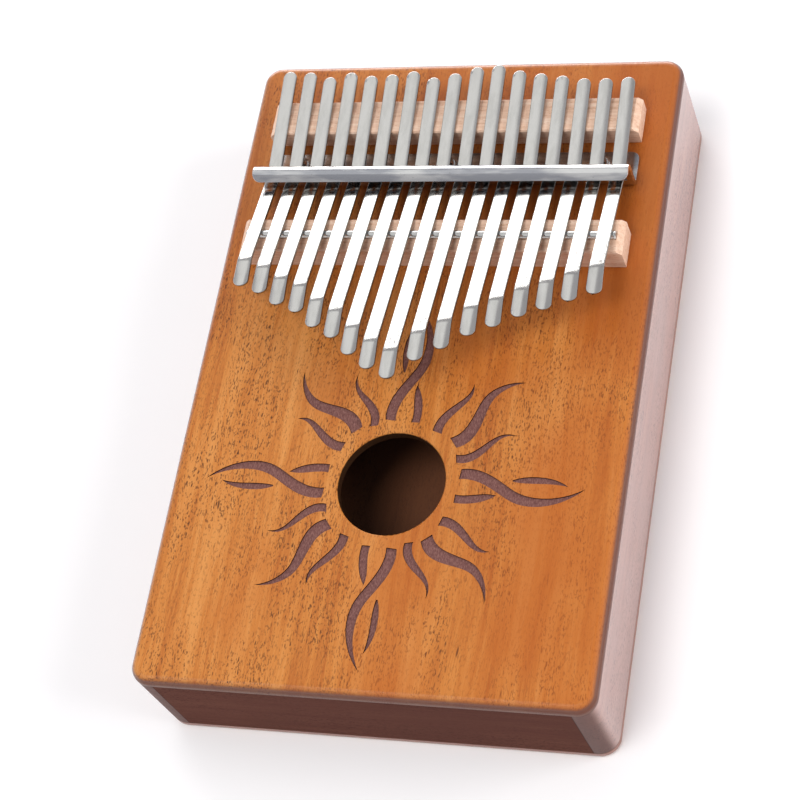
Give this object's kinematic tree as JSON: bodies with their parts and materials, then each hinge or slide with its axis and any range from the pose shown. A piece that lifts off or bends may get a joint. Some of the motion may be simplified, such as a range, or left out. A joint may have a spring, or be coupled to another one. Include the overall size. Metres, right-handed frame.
{
  "type": "mbira",
  "caption": "Hollow-box thumb piano with sprung steel tines clamped over two wooden rests, a round sound hole and an engraved wavy-rayed sun.",
  "frame": {"origin": "centre of the back face, on the plane the box rests on", "axes": "+X across the box to the player's right, +Y along the box towards the tines' tails, +Z out of the soundboard"},
  "size_m": [0.12, 0.185, 0.0514],
  "materials": {
    "mahogany_top": "satin lacquer over open-pored reddish mahogany, engraving burnt purplish brown",
    "mahogany_back": "satin lacquer",
    "mahogany_rim": "satin lacquer",
    "brace_wood": "bare sawn",
    "pale_hardwood": "bare sanded",
    "rod_steel": "polished",
    "bracket_chrome": "bright plated",
    "screw_steel": "bright plated",
    "tine_steel": "polished spring steel with light scuffs"
  },
  "bodies": {
    "sound_box": {"soundboard": "mahogany_top", "back_panel": "mahogany_back", "side_left": "mahogany_rim", "side_right": "mahogany_rim", "end_top": "mahogany_rim", "end_bottom": "mahogany_rim", "clamp_brace": "brace_wood", "rear_rest": "pale_hardwood", "front_bridge": "pale_hardwood", "bridge_rod": "rod_steel", "clamp_bracket": "bracket_chrome", "clamp_screws": "screw_steel"},
    "tine_01_shank": {"tine_01_shank": "tine_steel"},
    "tine_01_blade": {"tine_01_blade": "tine_steel"},
    "tine_02_shank": {"tine_02_shank": "tine_steel"},
    "tine_02_blade": {"tine_02_blade": "tine_steel"},
    "tine_03_shank": {"tine_03_shank": "tine_steel"},
    "tine_03_blade": {"tine_03_blade": "tine_steel"},
    "tine_04_shank": {"tine_04_shank": "tine_steel"},
    "tine_04_blade": {"tine_04_blade": "tine_steel"},
    "tine_05_shank": {"tine_05_shank": "tine_steel"},
    "tine_05_blade": {"tine_05_blade": "tine_steel"},
    "tine_06_shank": {"tine_06_shank": "tine_steel"},
    "tine_06_blade": {"tine_06_blade": "tine_steel"},
    "tine_07_shank": {"tine_07_shank": "tine_steel"},
    "tine_07_blade": {"tine_07_blade": "tine_steel"},
    "tine_08_shank": {"tine_08_shank": "tine_steel"},
    "tine_08_blade": {"tine_08_blade": "tine_steel"},
    "tine_09_shank": {"tine_09_shank": "tine_steel"},
    "tine_09_blade": {"tine_09_blade": "tine_steel"},
    "tine_10_shank": {"tine_10_shank": "tine_steel"},
    "tine_10_blade": {"tine_10_blade": "tine_steel"},
    "tine_11_shank": {"tine_11_shank": "tine_steel"},
    "tine_11_blade": {"tine_11_blade": "tine_steel"},
    "tine_12_shank": {"tine_12_shank": "tine_steel"},
    "tine_12_blade": {"tine_12_blade": "tine_steel"},
    "tine_13_shank": {"tine_13_shank": "tine_steel"},
    "tine_13_blade": {"tine_13_blade": "tine_steel"},
    "tine_14_shank": {"tine_14_shank": "tine_steel"},
    "tine_14_blade": {"tine_14_blade": "tine_steel"},
    "tine_15_shank": {"tine_15_shank": "tine_steel"},
    "tine_15_blade": {"tine_15_blade": "tine_steel"},
    "tine_16_shank": {"tine_16_shank": "tine_steel"},
    "tine_16_blade": {"tine_16_blade": "tine_steel"},
    "tine_17_shank": {"tine_17_shank": "tine_steel"},
    "tine_17_blade": {"tine_17_blade": "tine_steel"}
  },
  "joints": [
    {"name": "tine_01_tuning", "type": "slide", "parent": "sound_box", "child": "tine_01_shank", "axis": [0, -1, 0], "range_m": [-0.0015, 0.0015], "deforming": ["tine_01_shank"]},
    {"name": "tine_01_pluck", "type": "hinge", "parent": "tine_01_shank", "child": "tine_01_blade", "pos_m": [-0.048, 0.03026, 0.04276], "axis": [1, 0, 0], "range_deg": [-0.8, 0.8], "stiffness_Nm_per_rad": 5.416},
    {"name": "tine_02_tuning", "type": "slide", "parent": "sound_box", "child": "tine_02_shank", "axis": [0, -1, 0], "range_m": [-0.0015, 0.0015], "deforming": ["tine_02_shank"]},
    {"name": "tine_02_pluck", "type": "hinge", "parent": "tine_02_shank", "child": "tine_02_blade", "pos_m": [-0.042, 0.02989, 0.04284], "axis": [1, 0, 0], "range_deg": [-1.1, 1.1], "stiffness_Nm_per_rad": 4.771},
    {"name": "tine_03_tuning", "type": "slide", "parent": "sound_box", "child": "tine_03_shank", "axis": [0, -1, 0], "range_m": [-0.0015, 0.0015], "deforming": ["tine_03_shank"]},
    {"name": "tine_03_pluck", "type": "hinge", "parent": "tine_03_shank", "child": "tine_03_blade", "pos_m": [-0.036, 0.02931, 0.04297], "axis": [1, 0, 0], "range_deg": [-1.5, 1.5], "stiffness_Nm_per_rad": 4.008},
    {"name": "tine_04_tuning", "type": "slide", "parent": "sound_box", "child": "tine_04_shank", "axis": [0, -1, 0], "range_m": [-0.0015, 0.0015], "deforming": ["tine_04_shank"]},
    {"name": "tine_04_pluck", "type": "hinge", "parent": "tine_04_shank", "child": "tine_04_blade", "pos_m": [-0.03, 0.02894, 0.04305], "axis": [1, 0, 0], "range_deg": [-1.8, 1.8], "stiffness_Nm_per_rad": 3.643},
    {"name": "tine_05_tuning", "type": "slide", "parent": "sound_box", "child": "tine_05_shank", "axis": [0, -1, 0], "range_m": [-0.0015, 0.0015], "deforming": ["tine_05_shank"]},
    {"name": "tine_05_pluck", "type": "hinge", "parent": "tine_05_shank", "child": "tine_05_blade", "pos_m": [-0.024, 0.02821, 0.04321], "axis": [1, 0, 0], "range_deg": [-2.6, 2.6], "stiffness_Nm_per_rad": 3.083},
    {"name": "tine_06_tuning", "type": "slide", "parent": "sound_box", "child": "tine_06_shank", "axis": [0, -1, 0], "range_m": [-0.0015, 0.0015], "deforming": ["tine_06_shank"]},
    {"name": "tine_06_pluck", "type": "hinge", "parent": "tine_06_shank", "child": "tine_06_blade", "pos_m": [-0.018, 0.0277, 0.04333], "axis": [1, 0, 0], "range_deg": [-3.1, 3.1], "stiffness_Nm_per_rad": 2.783},
    {"name": "tine_07_tuning", "type": "slide", "parent": "sound_box", "child": "tine_07_shank", "axis": [0, -1, 0], "range_m": [-0.0015, 0.0015], "deforming": ["tine_07_shank"]},
    {"name": "tine_07_pluck", "type": "hinge", "parent": "tine_07_shank", "child": "tine_07_blade", "pos_m": [-0.012, 0.02689, 0.0435], "axis": [1, 0, 0], "range_deg": [-4.2, 4.2], "stiffness_Nm_per_rad": 2.414},
    {"name": "tine_08_tuning", "type": "slide", "parent": "sound_box", "child": "tine_08_shank", "axis": [0, -1, 0], "range_m": [-0.0015, 0.0015], "deforming": ["tine_08_shank"]},
    {"name": "tine_08_pluck", "type": "hinge", "parent": "tine_08_shank", "child": "tine_08_blade", "pos_m": [-0.006, 0.02623, 0.04365], "axis": [1, 0, 0], "range_deg": [-5.1, 5.1], "stiffness_Nm_per_rad": 2.178},
    {"name": "tine_09_tuning", "type": "slide", "parent": "sound_box", "child": "tine_09_shank", "axis": [0, -1, 0], "range_m": [-0.0015, 0.0015], "deforming": ["tine_09_shank"]},
    {"name": "tine_09_pluck", "type": "hinge", "parent": "tine_09_shank", "child": "tine_09_blade", "pos_m": [0, 0.02579, 0.04375], "axis": [1, 0, 0], "range_deg": [-5.8, 5.8], "stiffness_Nm_per_rad": 2.045},
    {"name": "tine_10_tuning", "type": "slide", "parent": "sound_box", "child": "tine_10_shank", "axis": [0, -1, 0], "range_m": [-0.0015, 0.0015], "deforming": ["tine_10_shank"]},
    {"name": "tine_10_pluck", "type": "hinge", "parent": "tine_10_shank", "child": "tine_10_blade", "pos_m": [0.006, 0.02667, 0.04355], "axis": [1, 0, 0], "range_deg": [-4.5, 4.5], "stiffness_Nm_per_rad": 2.33},
    {"name": "tine_11_tuning", "type": "slide", "parent": "sound_box", "child": "tine_11_shank", "axis": [0, -1, 0], "range_m": [-0.0015, 0.0015], "deforming": ["tine_11_shank"]},
    {"name": "tine_11_pluck", "type": "hinge", "parent": "tine_11_shank", "child": "tine_11_blade", "pos_m": [0.012, 0.02726, 0.04342], "axis": [1, 0, 0], "range_deg": [-3.7, 3.7], "stiffness_Nm_per_rad": 2.569},
    {"name": "tine_12_tuning", "type": "slide", "parent": "sound_box", "child": "tine_12_shank", "axis": [0, -1, 0], "range_m": [-0.0015, 0.0015], "deforming": ["tine_12_shank"]},
    {"name": "tine_12_pluck", "type": "hinge", "parent": "tine_12_shank", "child": "tine_12_blade", "pos_m": [0.018, 0.02791, 0.04328], "axis": [1, 0, 0], "range_deg": [-2.9, 2.9], "stiffness_Nm_per_rad": 2.904},
    {"name": "tine_13_tuning", "type": "slide", "parent": "sound_box", "child": "tine_13_shank", "axis": [0, -1, 0], "range_m": [-0.0015, 0.0015], "deforming": ["tine_13_shank"]},
    {"name": "tine_13_pluck", "type": "hinge", "parent": "tine_13_shank", "child": "tine_13_blade", "pos_m": [0.024, 0.02835, 0.04318], "axis": [1, 0, 0], "range_deg": [-2.4, 2.4], "stiffness_Nm_per_rad": 3.181},
    {"name": "tine_14_tuning", "type": "slide", "parent": "sound_box", "child": "tine_14_shank", "axis": [0, -1, 0], "range_m": [-0.0015, 0.0015], "deforming": ["tine_14_shank"]},
    {"name": "tine_14_pluck", "type": "hinge", "parent": "tine_14_shank", "child": "tine_14_blade", "pos_m": [0.03, 0.02887, 0.04307], "axis": [1, 0, 0], "range_deg": [-1.9, 1.9], "stiffness_Nm_per_rad": 3.578},
    {"name": "tine_15_tuning", "type": "slide", "parent": "sound_box", "child": "tine_15_shank", "axis": [0, -1, 0], "range_m": [-0.0015, 0.0015], "deforming": ["tine_15_shank"]},
    {"name": "tine_15_pluck", "type": "hinge", "parent": "tine_15_shank", "child": "tine_15_blade", "pos_m": [0.036, 0.02923, 0.04299], "axis": [1, 0, 0], "range_deg": [-1.6, 1.6], "stiffness_Nm_per_rad": 3.929},
    {"name": "tine_16_tuning", "type": "slide", "parent": "sound_box", "child": "tine_16_shank", "axis": [0, -1, 0], "range_m": [-0.0015, 0.0015], "deforming": ["tine_16_shank"]},
    {"name": "tine_16_pluck", "type": "hinge", "parent": "tine_16_shank", "child": "tine_16_blade", "pos_m": [0.042, 0.02967, 0.04289], "axis": [1, 0, 0], "range_deg": [-1.2, 1.2], "stiffness_Nm_per_rad": 4.453},
    {"name": "tine_17_tuning", "type": "slide", "parent": "sound_box", "child": "tine_17_shank", "axis": [0, -1, 0], "range_m": [-0.0015, 0.0015], "deforming": ["tine_17_shank"]},
    {"name": "tine_17_pluck", "type": "hinge", "parent": "tine_17_shank", "child": "tine_17_blade", "pos_m": [0.048, 0.03004, 0.04281], "axis": [1, 0, 0], "range_deg": [-1, 1], "stiffness_Nm_per_rad": 5.009}
  ]
}
